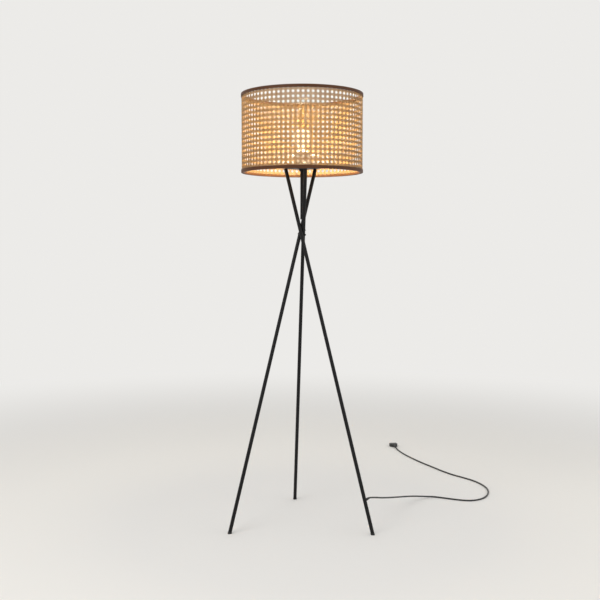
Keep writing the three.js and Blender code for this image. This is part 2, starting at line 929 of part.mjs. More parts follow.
// The glass stem inside, which flares out to the neck and carries the filament.
function bulbStem() {
  const foot = bulbNeckDiameter / 2 - bulbGlass - seatGap;
  const low = neckLowZ;
  const outline = [
    [0, low],
    [foot, low],
    [foot, low + bulbGlass],
    [bulbStemDiameter / 2, low + bulbStemDiameter],
    [bulbStemDiameter / 4, low + bulbStemHeight],
    [0, low + bulbStemHeight],
  ];
  return mesh('bulb_stem', turned(outline, smallSides), clearGlass);
}

// Shade

const caneOuter = shadeRadius - trimThickness - foldGap;
const caneInner = caneOuter - caneThickness;
const widestCaneStep = ((1 - caneGapShare * (1 - caneCornerShare)) / caneColumns) * Math.PI;
const caneFlatInner = caneInner * Math.cos(widestCaneStep);
const hoopRadius = caneFlatInner - seatGap - hoopWire / 2;
const foldOuter = hoopRadius - hoopWire / 2 - foldGap;
const hoopLowZ = shadeBottomZ + trimThickness + foldGap + hoopWire / 2;
const hoopHighZ = shadeTopZ - trimThickness - foldGap - hoopWire / 2;

// Cane webbing as a net of eight-sided gaps round the drum, closed with plain hems at both edges.
function caneWall() {
  const low = shadeBottomZ + trimThickness + foldGap;
  const high = shadeTopZ - trimThickness - foldGap;
  const hem = trimHeight - trimThickness - foldGap;
  const pitch = (high - low - 2 * hem) / caneRows;
  const wide = caneGapShare / 2;
  const flat = wide * (1 - caneCornerShare);
  const gapCorners = [
    [wide, -flat], [wide, flat], [flat, wide], [-flat, wide],
    [-wide, flat], [-wide, -flat], [-flat, -wide], [flat, -wide],
  ];
  const [rightLow, rightHigh, topRight, topLeft, leftHigh, leftLow, footLeft, footRight] = gapCorners.keys();
  const corners = gapCorners.length;
  const rowMiddle = (row) => low + hem + (row + 0.5) * pitch;
  const positions = [];
  const index = [];
  const put = (column, z, radius) => {
    const { x, y } = polar(radius, (column / caneColumns) * 360);
    positions.push(x, y, z);
  };
  for (const radius of [caneOuter, caneInner]) {
    for (let row = 0; row < caneRows; row += 1) {
      for (let column = 0; column < caneColumns; column += 1) {
        for (const [u, v] of gapCorners) put(column + u, rowMiddle(row) + v * pitch, radius);
      }
    }
    for (const z of [low, high]) {
      for (let column = 0; column < caneColumns; column += 1) {
        for (const u of [-flat, flat]) put(column + u, z, radius);
      }
    }
  }
  const layers = [caneOuter, caneInner].length;
  const perLayer = positions.length / layers / 3;
  const last = caneRows - 1;
  const gap = (column, row, corner) => (row * caneColumns + (column % caneColumns)) * corners + corner;
  const hemStart = caneRows * caneColumns * corners;
  const hemPoint = (end, column, k) => hemStart + (end * caneColumns + (column % caneColumns)) * 2 + k;
  const lowEdge = (column, k) => hemPoint(0, column, k);
  const highEdge = (column, k) => hemPoint(1, column, k);
  // A flat patch on the outer face, and its mirror on the inner face.
  const patch = (...ids) => {
    for (let k = 1; k + 1 < ids.length; k += 1) {
      index.push(ids[0], ids[k], ids[k + 1]);
      index.push(perLayer + ids[0], perLayer + ids[k + 1], perLayer + ids[k]);
    }
  };
  // A strip through the thickness, between two points of the outer face.
  const wall = (a, b) => index.push(a, a + perLayer, b + perLayer, a, b + perLayer, b);
  for (let c = 0; c < caneColumns; c += 1) {
    const next = c + 1;
    for (let r = 0; r < caneRows; r += 1) {
      patch(gap(c, r, rightLow), gap(next, r, leftLow), gap(next, r, leftHigh), gap(c, r, rightHigh));
      if (r < last) {
        const over = r + 1;
        patch(gap(c, r, topLeft), gap(c, r, topRight), gap(c, over, footRight), gap(c, over, footLeft));
        patch(
          gap(c, r, topRight), gap(c, r, rightHigh),
          gap(next, r, leftHigh), gap(next, r, topLeft),
          gap(next, over, footLeft), gap(next, over, leftLow),
          gap(c, over, rightLow), gap(c, over, footRight),
        );
      }
      for (let k = 0; k < corners; k += 1) wall(gap(c, r, (k + 1) % corners), gap(c, r, k));
    }
    patch(lowEdge(c, 0), lowEdge(c, 1), gap(c, 0, footRight), gap(c, 0, footLeft));
    patch(
      lowEdge(c, 1), lowEdge(next, 0), gap(next, 0, footLeft), gap(next, 0, leftLow),
      gap(c, 0, rightLow), gap(c, 0, footRight),
    );
    patch(gap(c, last, topLeft), gap(c, last, topRight), highEdge(c, 1), highEdge(c, 0));
    patch(
      gap(c, last, topRight), gap(c, last, rightHigh), gap(next, last, leftHigh), gap(next, last, topLeft),
      highEdge(next, 0), highEdge(c, 1),
    );
    wall(lowEdge(c, 0), lowEdge(c, 1));
    wall(lowEdge(c, 1), lowEdge(next, 0));
    wall(highEdge(c, 1), highEdge(c, 0));
    wall(highEdge(next, 0), highEdge(c, 1));
  }
  const geometry = new THREE.BufferGeometry();
  geometry.setAttribute('position', new THREE.Float32BufferAttribute(positions, 3));
  geometry.setIndex(index);
  geometry.computeVertexNormals();
  return mesh('cane_wall', geometry, cane);
}

// A trim folded over hoop and cane edge: tall outside, across the edge, shorter inside.
function trimOutline(edgeZ, inward) {
  const foldInner = foldOuter - trimThickness;
  const z = (height) => edgeZ + inward * height;
  const outline = [
    [foldInner, z(0)],
    [shadeRadius, z(0)],
    [shadeRadius, z(trimHeight)],
    [shadeRadius - trimThickness, z(trimHeight)],
    [shadeRadius - trimThickness, z(trimThickness)],
    [foldOuter, z(trimThickness)],
    [foldOuter, z(trimFoldHeight)],
    [foldInner, z(trimFoldHeight)],
    [foldInner, z(0)],
  ];
  return inward > 0 ? outline : outline.reverse();
}

function trim(name, edgeZ, inward) {
  return mesh(name, turned(trimOutline(edgeZ, inward), shadeSides), brownTrim);
}

function hoopOutline(z) {
  const outline = [];
  for (let k = 0; k <= wireSides; k += 1) {
    const turn = (2 * Math.PI * k) / wireSides;
    outline.push([hoopRadius + (hoopWire / 2) * Math.cos(turn), z + (hoopWire / 2) * Math.sin(turn)]);
  }
  return outline;
}

function topHoop() {
  return mesh('top_hoop', turned(hoopOutline(hoopHighZ), shadeSides), zincSteel);
}

function bottomHoop() {
  return mesh('bottom_hoop', turned(hoopOutline(hoopLowZ), shadeSides), zincSteel);
}

// The ring that sits on the lampholder's shoulder under the ribbed nut.
function fitterRing() {
  const bore = threadRadius + 2 * seatGap;
  const outline = ringOutline(bore, fitterRingDiameter / 2, fitterZ, fitterZ + fitterRingThickness);
  return mesh('fitter_ring', turned(outline, holderSides), zincSteel);
}

// An arm is welded to the ring's edge, runs level, turns down at the wall and is welded on the hoop.
function fitterArm(name, degrees) {
  const armZ = fitterZ + fitterRingThickness / 2;
  const hoopCrest = (hoopWire / 2) * Math.cos(Math.PI / wireSides);
  const at = (radius, z) => polar(radius, degrees, z);
  const start = at(fitterRingDiameter / 2 + seatGap, armZ);
  const bendStart = at(hoopRadius - fitterBendRadius, armZ);
  const bendEnd = at(hoopRadius, armZ - fitterBendRadius);
  const path = new THREE.CurvePath();
  path.add(new THREE.LineCurve3(start, bendStart));
  path.add(new THREE.QuadraticBezierCurve3(bendStart, at(hoopRadius, armZ), bendEnd));
  path.add(new THREE.LineCurve3(bendEnd, at(hoopRadius, hoopLowZ + hoopCrest + seatGap)));
  return mesh(`fitter_arm_${name}`, swept(path, hoopWire / 2, wireSides, armSteps), zincSteel);
}

// The strip that covers the joint of the cane sheet, outside at the back.
function seamStrip() {
  const inner = caneOuter + seatGap;
  const half = seamWidth / 2 / inner;
  const middle = seamAngle * radians;
  const shape = new THREE.Shape();
  shape.absarc(0, 0, inner + seamThickness, middle - half, middle + half, false);
  shape.absarc(0, 0, inner, middle + half, middle - half, true);
  const strip = new THREE.ExtrudeGeometry(shape, {
    depth: shadeHeight - 2 * trimHeight - 2 * seatGap,
    bevelEnabled: false,
    curveSegments: cornerSteps,
  });
  return mesh('seam_strip', strip.translate(0, 0, shadeBottomZ + trimHeight + seatGap), cane);
}

// Lead inside the right leg and on to the lampholder

// The jacketed lead: in from the strain relief, then straight up the tube to the nipple's mouth.
function legCable() {
  const radius = nippleBore - 2 * seatGap;
  const bendHeight = alongLeg('right', exitHeight);
  const riseTop = topStack('right').nippleTop - cordDiameter;
  const rise = turned(rodOutline(radius, bendHeight - radius, riseTop), wireSides);
  const run = turned(rodOutline(radius, 0, legRadius + seatGap + reliefLength), smallSides);
  rise.applyMatrix4(axes.right.frame);
  run.applyMatrix4(exit.frame);
  return mesh('leg_cable', joined([rise, run]), blackPlastic);
}

// Two single cores arch from the nipple's mouth through the holder's side to their terminals.
function leadCore(name, sign) {
  const { foot, direction } = axes.right;
  const top = topStack('right').nippleTop;
  const aside = new THREE.Vector3().crossVectors(up, outwardAt(leadAngle)).normalize();
  const shift = aside.clone().multiplyScalar((sign * coreSpacing) / 2);
  const on = (height) => foot.clone().addScaledVector(direction, height).add(shift);
  const inside = (radius, z) => polar(radius, leadAngle, z).add(shift);
  const mouth = on(top);
  const reach = Math.hypot(mouth.x, mouth.y);
  const terminalZ = coreLowZ - seatGap - terminalHeight / 2;
  const stop = terminalPlace(sign).add(polar(terminalWidth / 2 + 3 * seatGap, leadAngle));
  const arch = new THREE.CatmullRomCurve3([
    on(top - cordDiameter + 2 * seatGap),
    on(top + coreDiameter),
    inside(reach - leadArch, mouth.z + leadArch),
    inside((reach + baseRadius) / 2, (mouth.z + leadZ) / 2),
    inside(baseRadius, leadZ),
    inside(baseBore - holderWall, leadZ),
    stop.setZ(terminalZ),
  ], false, 'centripetal');
  return mesh(name, swept(arch, coreDiameter / 2, wireSides, coreSteps), copperCore);
}

// Strain relief, free lead and plug

function exitRelief() {
  const bore = cordDiameter / 2 + seatGap;
  const root = legRadius + seatGap;
  const outline = [
    [bore, legBore + seatGap],
    [reliefNeckDiameter / 2, legBore + seatGap],
    [reliefNeckDiameter / 2, root],
    [reliefRootDiameter / 2, root],
    [reliefRootDiameter / 2, root + reliefFlange],
    [reliefTipDiameter / 2, root + reliefLength],
    [bore, root + reliefLength],
    [bore, legBore + seatGap],
  ];
  return mesh('exit_relief', turned(outline, roundSides), blackRubber, exit.frame);
}

const cordFloorZ = cordDiameter / 2 + cordLift;
const plugAxisZ = plugThickness / 2;

// Straight out of the relief, then down and along the floor, and up to the plug's axis at the end.
function cordRoute() {
  const reach = legRadius + seatGap + reliefLength + seatGap;
  const mouth = exit.onLeg.clone().addScaledVector(exit.direction, reach);
  const points = [mouth, mouth.clone().addScaledVector(exit.direction, leadOut)];
  for (const [x, y, z] of routeDrop) points.push(new THREE.Vector3(x, y, z));
  for (const [x, y] of routeFloor) points.push(new THREE.Vector3(x, y, cordFloorZ));
  points.push(new THREE.Vector3(...routeEnd, plugAxisZ));
  return new THREE.CatmullRomCurve3(points, false, 'centripetal');
}

const route = cordRoute();

function floorCord() {
  return mesh('floor_cord', swept(route, cordDiameter / 2, cordSides, cordSteps), blackPlastic);
}

function plugSlab(low) {
  const half = plugWidth / 2;
  const shoulder = low + plugLength * plugShoulderShare;
  const high = low + plugLength;
  const shape = new THREE.Shape();
  shape.moveTo(-plugTailRootDiameter / 2, low);
  shape.lineTo(plugTailRootDiameter / 2, low);
  shape.lineTo(half, shoulder);
  shape.lineTo(half, high - plugCornerRadius);
  shape.quadraticCurveTo(half, high, half - plugCornerRadius, high);
  shape.lineTo(plugCornerRadius - half, high);
  shape.quadraticCurveTo(-half, high, -half, high - plugCornerRadius);
  shape.lineTo(-half, shoulder);
  shape.closePath();
  const slab = new THREE.ExtrudeGeometry(shape, {
    depth: plugThickness,
    bevelEnabled: false,
    curveSegments: cornerSteps,
  });
  return slab.translate(0, 0, -plugThickness / 2).rotateX(Math.PI / 2);
}

// The plug lies flat on the floor, its tail towards the lead and its pins away from it.
function plugPieces() {
  const start = route.getPointAt(1);
  const heading = route.getTangentAt(1).setZ(0).normalize();
  const across = new THREE.Vector3().crossVectors(up, heading);
  const frame = new THREE.Matrix4().makeBasis(across, up, heading).setPosition(start);
  const tailLow = 2 * seatGap;
  const bodyLow = tailLow + plugTailLength;
  const tailEnd = bodyLow + plugCornerRadius;
  const tail = turned([
    [0, tailLow],
    [plugTailTipDiameter / 2, tailLow],
    [plugTailRootDiameter / 2, tailEnd],
    [0, tailEnd],
  ], roundSides);
  const pinLow = bodyLow + plugLength - pinSocketDepth;
  const pinHigh = pinLow + pinSocketDepth + pinLength;
  const pinRadius = pinDiameter / 2;
  const pinPlaces = { a: -pinSpacing / 2, b: pinSpacing / 2 };
  const sockets = Object.values(pinPlaces).map((x) => {
    const tool = turned(rodOutline(pinRadius + seatGap, pinLow - seatGap, pinHigh), smallSides);
    return [tool.translate(x, 0, 0), frame];
  });
  const body = cut(joined([plugSlab(bodyLow), tail]), frame, sockets);
  const pieces = [mesh('plug_body', body, blackPlastic, frame)];
  for (const [key, x] of Object.entries(pinPlaces)) {
    const pin = turned([
      [0, pinLow],
      [pinRadius, pinLow],
      [pinRadius, pinHigh - pinRadius],
      [pinRadius / 2, pinHigh],
      [0, pinHigh],
    ], smallSides);
    pieces.push(mesh(`plug_pin_${key}`, pin.translate(x, 0, 0), nickel, frame));
  }
  return pieces;
}

// Assembly

const tripod = new THREE.Group();
for (const side of legNames) {
  tripod.add(legTube(side), footPlug(side), legNipple(side), wedgeWasher(side), legNut(side));
}
tripod.add(...waistFixings(), topPlate(), rodCollar(), centreRod(), rodPlug(), rodScrewPiece());
tripod.add(topStud(), studNut());

const holder = new THREE.Group();
holder.add(holderBase(), holderBody(), holderCore(), screwShell(), centreContact());
holder.add(terminal('terminal_live', 1), terminal('terminal_neutral', -1), shadeNut(), switchBlock());

const switchKnobGroup = new THREE.Group();
switchKnobGroup.add(switchSpindle(), switchKnob());

const bulb = new THREE.Group();
bulb.add(bulbGlassPiece(), bulbCap(), bulbGlaze(), bulbButton(), bulbStem());

const shade = new THREE.Group();
shade.add(caneWall(), trim('trim_bottom', shadeBottomZ, 1), trim('trim_top', shadeTopZ, -1));
shade.add(topHoop(), bottomHoop(), fitterRing(), seamStrip());
for (const [name, degrees] of Object.entries(fitterAngles)) shade.add(fitterArm(name, degrees));

const lead = new THREE.Group();
lead.add(legCable(), leadCore('lead_live', 1), leadCore('lead_neutral', -1), exitRelief());

const freeLead = new THREE.Group();
freeLead.add(floorCord(), ...plugPieces());

const standing = new THREE.Group();
standing.add(tripod, holder, switchKnobGroup, bulb, shade, lead);
standing.updateMatrixWorld(true);

// The middle of the standing lamp's footprint becomes the origin.
const footprint = new THREE.Box3().setFromObject(standing, true);
const middle = footprint.getCenter(new THREE.Vector3()).setZ(0);

const lamp = new THREE.Group();
lamp.add(standing, freeLead);
lamp.position.sub(middle);
lamp.updateMatrixWorld(true);

export default lamp;
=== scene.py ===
import json
import math

import bmesh
import bpy
import numpy as np
from mathutils import Matrix, Vector

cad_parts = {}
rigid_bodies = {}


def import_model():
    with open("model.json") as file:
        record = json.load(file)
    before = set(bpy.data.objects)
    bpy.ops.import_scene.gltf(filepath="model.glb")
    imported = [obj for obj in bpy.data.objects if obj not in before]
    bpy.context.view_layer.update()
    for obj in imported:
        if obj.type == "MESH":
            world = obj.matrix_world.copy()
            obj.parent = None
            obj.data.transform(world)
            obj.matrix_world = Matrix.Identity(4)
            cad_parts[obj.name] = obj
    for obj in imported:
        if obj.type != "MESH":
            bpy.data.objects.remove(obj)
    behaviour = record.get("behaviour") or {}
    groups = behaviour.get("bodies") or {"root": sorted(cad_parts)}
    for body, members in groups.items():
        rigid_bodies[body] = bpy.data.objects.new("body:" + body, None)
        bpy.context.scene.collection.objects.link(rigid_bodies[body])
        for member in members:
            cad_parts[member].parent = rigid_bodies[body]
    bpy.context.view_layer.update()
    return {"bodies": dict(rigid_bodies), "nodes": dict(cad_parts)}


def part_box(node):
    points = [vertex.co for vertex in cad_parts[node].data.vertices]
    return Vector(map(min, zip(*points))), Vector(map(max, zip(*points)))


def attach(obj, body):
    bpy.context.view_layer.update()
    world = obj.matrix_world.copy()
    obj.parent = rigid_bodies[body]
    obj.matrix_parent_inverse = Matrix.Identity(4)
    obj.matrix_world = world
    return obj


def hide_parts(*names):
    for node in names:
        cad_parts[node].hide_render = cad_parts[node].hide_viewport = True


# Looks of a floor lamp with a woven cane drum shade on three crossed tubes. Metres and degrees, Z up.

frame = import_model()
nodes = frame["nodes"]
scene = bpy.context.scene

holderLow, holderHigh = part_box("holder_body")
axis = Vector(((holderLow.x + holderHigh.x) / 2, (holderLow.y + holderHigh.y) / 2, 0))
print("frame loaded,", len(nodes), "nodes, axis at", round(axis.x, 4), round(axis.y, 4))


# Camera: where the photograph was taken from

cameraLook = {
    "distance": 2.98,
    "sideways": -0.0069,
    "height": 0.9355,
    "tiltDown": 3.604,
    "lens": 54.0,
    "sensor": 36.0,
    "clipEnd": 100,
}


def makeCamera(look):
    data = bpy.data.cameras.new("photoCamera")
    data.lens = look["lens"]
    data.sensor_width = look["sensor"]
    data.clip_end = look["clipEnd"]
    camera = bpy.data.objects.new("photoCamera", data)
    camera.location = (axis.x + look["sideways"], axis.y - look["distance"], look["height"])
    camera.rotation_euler = (math.radians(90 - look["tiltDown"]), 0, 0)
    scene.collection.objects.link(camera)
    scene.camera = camera


makeCamera(cameraLook)
print("camera set")


# Mesh helpers

def linked(name, data):
    obj = bpy.data.objects.new(name, data)
    scene.collection.objects.link(obj)
    return obj


def shadeSmooth(mesh):
    mesh.polygons.foreach_set("use_smooth", [True] * len(mesh.polygons))
    mesh.update()


def meshObject(name, verts, faces):
    mesh = bpy.data.meshes.new(name)
    mesh.from_pydata([tuple(v) for v in verts], [], faces)
    mesh.validate()
    shadeSmooth(mesh)
    return linked(name, mesh)


def sharpen(obj, degrees=35):
    obj.data.set_sharp_from_angle(angle=math.radians(degrees))
    return obj


def polar(radius, degrees, z=0.0):
    turn = math.radians(degrees)
    return Vector((radius * math.cos(turn), radius * math.sin(turn), z))


# The (radius, height) points of an outline, turned about the lamp's axis or about the Z of a matrix.
def turnedPoints(outline, segments, matrix):
    turns = [360 * k / segments for k in range(segments)]
    return [matrix @ polar(radius, turn, z) for turn in turns for radius, z in outline]


# Turns a closed outline into a ring.
def turnedRing(name, outline, segments, matrix=None):
    verts, faces = turnedPoints(outline, segments, matrix or Matrix.Translation(axis)), []
    count = len(outline)
    for k in range(segments):
        a, b = k * count, ((k + 1) % segments) * count
        for i in range(count):
            j = (i + 1) % count
            faces.append((a + i, b + i, b + j, a + j))
    return sharpen(meshObject(name, verts, faces))


def ringOutline(inner, outer, low, high, edge=0.0003):
    return [
        (inner + edge, low), (outer - edge, low), (outer, low + edge), (outer, high - edge),
        (outer - edge, high), (inner + edge, high), (inner, high - edge), (inner, low + edge),
    ]


# Turns an open outline that starts and ends on the axis.
def turnedSolid(name, outline, segments, matrix=None):
    matrix = matrix or Matrix.Translation(axis)
    inner = outline[1:-1]
    count = len(inner)
    verts, faces = turnedPoints(inner, segments, matrix), []
    bottom, top = len(verts), len(verts) + 1
    verts.append(matrix @ Vector((0, 0, outline[0][1])))
    verts.append(matrix @ Vector((0, 0, outline[-1][1])))
    for k in range(segments):
        a, b = k * count, ((k + 1) % segments) * count
        faces.append((bottom, b, a))
        faces.append((top, a + count - 1, b + count - 1))
        for i in range(count - 1):
            faces.append((a + i, b + i, b + i + 1, a + i + 1))
    return sharpen(meshObject(name, verts, faces))


capAngle = 50  # sharper edges than this stay crisp on wires and discs


# A round wire along points, closed on itself or capped at both ends.
def wireAlong(name, points, radius, sides, closed=False):
    points = [Vector(p) for p in points]
    count = len(points)
    verts, faces = [], []
    normal = None
    for i, p in enumerate(points):
        before = points[i - 1] if i or closed else points[i]
        after = points[(i + 1) % count] if i + 1 < count or closed else points[i]
        tangent = (after - before).normalized()
        if normal is None:
            normal = tangent.orthogonal().normalized()
        normal = (normal - tangent * normal.dot(tangent)).normalized()
        side = tangent.cross(normal)
        for k in range(sides):
            turn = 2 * math.pi * k / sides
            verts.append(p + (normal * math.cos(turn) + side * math.sin(turn)) * radius)
    for i in range(count if closed else count - 1):
        a, b = i * sides, ((i + 1) % count) * sides
        for k in range(sides):
            m = (k + 1) % sides
            faces.append((a + k, a + m, b + m, b + k))
    if not closed:
        faces.append(tuple(reversed(range(sides))))
        faces.append(tuple(range((count - 1) * sides, count * sides)))
    return sharpen(meshObject(name, verts, faces), capAngle)


# Materials: what each finish changes of a plain look

def addNode(tree, kind, **values):
    node = tree.nodes.new(kind)
    for key, value in values.items():
        setattr(node, key, value)
    return node


plainLook = {
    "metallic": 0.0, "coat": 0.0, "coatRoughness": 0.2, "specular": 0.5, "roughness": (0.4, 0.55),
    "along": False, "stretch": (1, 1, 1), "blotchScale": 30, "blotchDetail": 3,
    "grainScale": 400, "grainDetail": 4, "grainShare": 0.5, "noiseRange": (0.3, 0.7),
    "bump": 0.1, "bumpDepth": 0.0002,
}


# Broad blotches and a fine grain drive the colour, the roughness and the bump.
def makeMaterial(name, changes):
    look = {**plainLook, **changes}
    material = bpy.data.materials.new(name)
    material.use_nodes = True
    tree = material.node_tree
    shader = tree.nodes["Principled BSDF"]
    shader.inputs["Metallic"].default_value = look["metallic"]
    shader.inputs["Coat Weight"].default_value = look["coat"]
    shader.inputs["Coat Roughness"].default_value = look["coatRoughness"]
    shader.inputs["Specular IOR Level"].default_value = look["specular"]
    if "glow" in look:
        shader.inputs["Emission Color"].default_value = (*look["glow"], 1)
        shader.inputs["Emission Strength"].default_value = look["glowStrength"]

    coords = addNode(tree, "ShaderNodeTexCoord")
    mapping = addNode(tree, "ShaderNodeMapping")
    mapping.inputs["Scale"].default_value = look["stretch"]
    source = "UV" if look["along"] else "Object"
    tree.links.new(coords.outputs[source], mapping.inputs["Vector"])

    broad = addNode(tree, "ShaderNodeTexNoise")
    broad.inputs["Scale"].default_value = look["blotchScale"]
    broad.inputs["Detail"].default_value = look["blotchDetail"]
    fine = addNode(tree, "ShaderNodeTexNoise")
    fine.inputs["Scale"].default_value = look["grainScale"]
    fine.inputs["Detail"].default_value = look["grainDetail"]
    for noise in (broad, fine):
        tree.links.new(mapping.outputs["Vector"], noise.inputs["Vector"])

    blend = addNode(tree, "ShaderNodeMath", operation="MULTIPLY_ADD")
    blend.inputs[1].default_value = look["grainShare"]
    tree.links.new(fine.outputs["Fac"], blend.inputs[0])
    lowered = addNode(tree, "ShaderNodeMath", operation="MULTIPLY")
    lowered.inputs[1].default_value = 1 - look["grainShare"]
    tree.links.new(broad.outputs["Fac"], lowered.inputs[0])
    tree.links.new(lowered.outputs[0], blend.inputs[2])

    darkest, lightest = look["noiseRange"]
    ramp = addNode(tree, "ShaderNodeValToRGB")
    ramp.color_ramp.elements[0].position = darkest
    ramp.color_ramp.elements[1].position = lightest
    ramp.color_ramp.elements[0].color = (*look["dark"], 1)
    ramp.color_ramp.elements[1].color = (*look["light"], 1)
    tree.links.new(blend.outputs[0], ramp.inputs["Fac"])
    tree.links.new(ramp.outputs["Color"], shader.inputs["Base Color"])

    spread = addNode(tree, "ShaderNodeMapRange")
    low, high = look["roughness"]
    spread.inputs["From Min"].default_value = darkest
    spread.inputs["From Max"].default_value = lightest
    spread.inputs["To Min"].default_value = low
    spread.inputs["To Max"].default_value = high
    tree.links.new(broad.outputs["Fac"], spread.inputs["Value"])
    tree.links.new(spread.outputs["Result"], shader.inputs["Roughness"])

    bump = addNode(tree, "ShaderNodeBump")
    bump.inputs["Strength"].default_value = look["bump"]
    bump.inputs["Distance"].default_value = look["bumpDepth"]
    tree.links.new(fine.outputs["Fac"], bump.inputs["Height"])
    tree.links.new(bump.outputs["Normal"], shader.inputs["Normal"])
    return material


looks = {
    "blackPaint": {
        "dark": (0.004, 0.004, 0.0045), "light": (0.008, 0.008, 0.009), "roughness": (0.40, 0.50),
        "grainScale": 900, "bump": 0.12, "blotchScale": 12, "specular": 0.2,
    },
    "blackRubber": {
        "dark": (0.010, 0.010, 0.010), "light": (0.020, 0.020, 0.020), "roughness": (0.7, 0.85),
        "grainScale": 600, "bump": 0.2,
    },
    "blackPlastic": {
        "dark": (0.012, 0.012, 0.012), "light": (0.022, 0.022, 0.022), "roughness": (0.42, 0.55),
        "grainScale": 700, "bump": 0.1,
    },
    "zincSteel": {
        "dark": (0.46, 0.47, 0.49), "light": (0.62, 0.63, 0.65), "roughness": (0.28, 0.42),
        "metallic": 1.0, "grainScale": 300, "bump": 0.06,
    },
    "brass": {
        "dark": (0.56, 0.40, 0.14), "light": (0.70, 0.52, 0.22), "roughness": (0.25, 0.4),
        "metallic": 1.0, "bump": 0.05,
    },
    "nickel": {
        "dark": (0.58, 0.56, 0.53), "light": (0.70, 0.68, 0.64), "roughness": (0.18, 0.3),
        "metallic": 1.0, "bump": 0.04,
    },
    "whitePlastic": {
        "dark": (0.74, 0.72, 0.66), "light": (0.80, 0.78, 0.73), "roughness": (0.3, 0.4),
        "bump": 0.04, "coat": 0.2,
    },
    "porcelain": {
        "dark": (0.78, 0.76, 0.71), "light": (0.84, 0.82, 0.78), "roughness": (0.2, 0.3),
        "bump": 0.03, "coat": 0.4,
    },
    "frostedGlass": {
        "dark": (0.90, 0.84, 0.70), "light": (0.94, 0.88, 0.76), "roughness": (0.35, 0.5),
        "glow": (1.0, 0.82, 0.54), "glowStrength": 0.9, "bump": 0.05, "grainScale": 900,
    },
    "clearGlass": {
        "dark": (0.80, 0.84, 0.84), "light": (0.86, 0.90, 0.90), "roughness": (0.05, 0.1), "bump": 0.02,
    },
    "coreBrown": {
        "dark": (0.16, 0.07, 0.03), "light": (0.22, 0.10, 0.05), "roughness": (0.45, 0.6), "bump": 0.05,
    },
    "cane": {
        "dark": (0.205, 0.097, 0.024), "light": (0.43, 0.236, 0.073), "roughness": (0.42, 0.62),
        "along": True, "stretch": (1400, 40, 1), "blotchScale": 1.0, "grainScale": 1.0,
        "grainShare": 0.45, "bump": 0.35, "bumpDepth": 0.0002, "coat": 0.15, "coatRoughness": 0.35,
    },
    "brownTrim": {
        "dark": (0.048, 0.015, 0.0035), "light": (0.115, 0.040, 0.010), "roughness": (0.48, 0.66),
        "stretch": (1, 1, 9), "blotchScale": 24, "grainScale": 130, "bump": 0.35, "specular": 0.3,
    },
    "caneStrip": {
        "dark": (0.205, 0.097, 0.024), "light": (0.43, 0.236, 0.073), "roughness": (0.42, 0.6),
        "stretch": (1, 1, 0.05), "blotchScale": 160, "grainScale": 900, "bump": 0.3, "specular": 0.35,
    },
}
materials = {name: makeMaterial(name, look) for name, look in looks.items()}


# Gives a piece its finish and its body, and hides the CAD nodes that it stands for.
def wear(obj, material, slotName, body, *replaced):
    obj.data.materials.clear()
    obj.data.materials.append(materials[material])
    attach(obj, body)
    if replaced:
        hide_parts(*replaced)
    return obj


print("materials made:", len(materials))


# Lead: the route of the part's own lead, in places from the lamp's axis, then the plug

cordLook = {
    "diameter": 0.0055,
    "start": [(0.216444, -0.098097, 0.108), (0.219381, -0.092865, 0.108)],
    "drop": [
        (0.243, -0.045, 0.095), (0.270, 0.008, 0.079), (0.300, 0.066, 0.063),
        (0.333, 0.124, 0.048), (0.368, 0.180, 0.034), (0.405, 0.230, 0.021),
        (0.445, 0.268, 0.0095), (0.467, 0.279, 0.0056), (0.487, 0.286, 0.0036),
    ],
    "floorHeight": 0.003,
    "floor": [
        (0.510, 0.276), (0.530, 0.266), (0.550, 0.256), (0.572, 0.246), (0.590, 0.239),
        (0.610, 0.236), (0.630, 0.241), (0.650, 0.253), (0.667, 0.270), (0.682, 0.295),
        (0.695, 0.328), (0.703, 0.362), (0.706, 0.398), (0.702, 0.434), (0.692, 0.472),
        (0.672, 0.518), (0.641, 0.562), (0.607, 0.607), (0.577, 0.662), (0.546, 0.730),
        (0.512, 0.803), (0.480, 0.885), (0.453, 0.965), (0.438, 1.030), (0.434, 1.052),
    ],
    "end": (0.430, 1.082, 0.0068),
    "stepsPerSpan": 10,
    "step": 0.004,
    "easing": 20,
    "startKept": 2,
    "endKept": 3,
    "roundness": 4,
}


# A smooth route through the points, with spans of uneven length allowed for.
def smoothRoute(points, stepsPerSpan):
    padded = [points[0] * 2 - points[1], *points, points[-1] * 2 - points[-2]]
    route = []
    for i in range(len(points) - 1):
        p0, p1, p2, p3 = padded[i:i + 4]
        d0, d1, d2 = (math.sqrt((b - a).length) for a, b in ((p0, p1), (p1, p2), (p2, p3)))
        slopeA = ((p1 - p0) / d0 - (p2 - p0) / (d0 + d1) + (p2 - p1) / d1) * d1
        slopeB = ((p2 - p1) / d1 - (p3 - p1) / (d1 + d2) + (p3 - p2) / d2) * d1
        for k in range(stepsPerSpan):
            t = k / stepsPerSpan
            route.append(
                p1 * (2 * t**3 - 3 * t**2 + 1) + slopeA * (t**3 - 2 * t**2 + t)
                + p2 * (3 * t**2 - 2 * t**3) + slopeB * (t**3 - t**2)
            )
    route.append(points[-1].copy())
    return route


def evenSteps(route, step):
    runs = [0.0]
    for a, b in zip(route, route[1:]):
        runs.append(runs[-1] + (b - a).length)
    count = round(runs[-1] / step)
    even, i = [], 0
    for k in range(count + 1):
        run = runs[-1] * k / count
        while i < len(route) - 2 and runs[i + 1] < run:
            i += 1
        even.append(route[i].lerp(route[i + 1], (run - runs[i]) / (runs[i + 1] - runs[i])))
    return even


# Opens the tight bends as a stiff lead does, and leaves both ends where they are.
def eased(route, look):
    start, end = look["startKept"], look["endKept"]
    for _ in range(look["easing"]):
        inner = [
            route[i] * 0.5 + (route[i - 1] + route[i + 1]) * 0.25
            for i in range(start, len(route) - end)
        ]
        route = route[:start] + inner + route[-end:]
    return route


